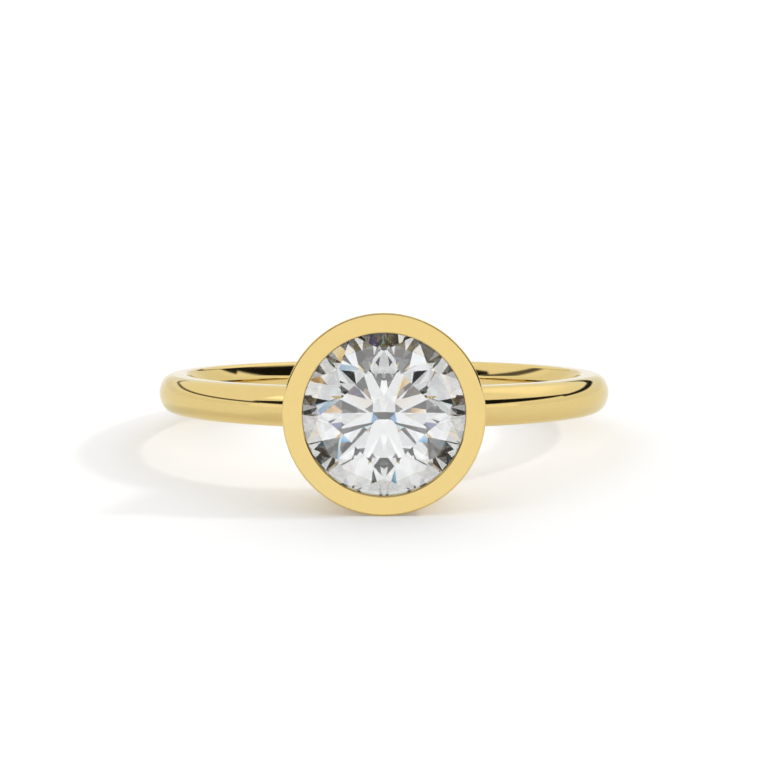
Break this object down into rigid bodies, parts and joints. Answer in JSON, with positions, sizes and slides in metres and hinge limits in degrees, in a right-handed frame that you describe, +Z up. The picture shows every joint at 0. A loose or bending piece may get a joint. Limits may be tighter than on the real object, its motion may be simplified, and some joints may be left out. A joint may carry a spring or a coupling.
{
  "type": "bezel set ring",
  "caption": "Slim finger ring with a crowned, comfort-fit shank and a round brilliant cut stone held in a plain full bezel, lying on its side.",
  "frame": {"origin": "on the surface the ring lies on, under the middle of its box", "axes": "+Z up from that surface, -Y the way the stone faces, +X across; the finger hole's axis leans 8.1 degrees from +Z towards +Y"},
  "size_m": [0.0192, 0.022, 0.0075],
  "materials": {
    "yellow_gold": "14 carat yellow gold, polished to a mirror",
    "clear_stone": "colourless diamond, flat polished facets"
  },
  "bodies": {
    "root": {"shank_with_bezel": "yellow_gold", "stone": "clear_stone"}
  },
  "joints": []
}
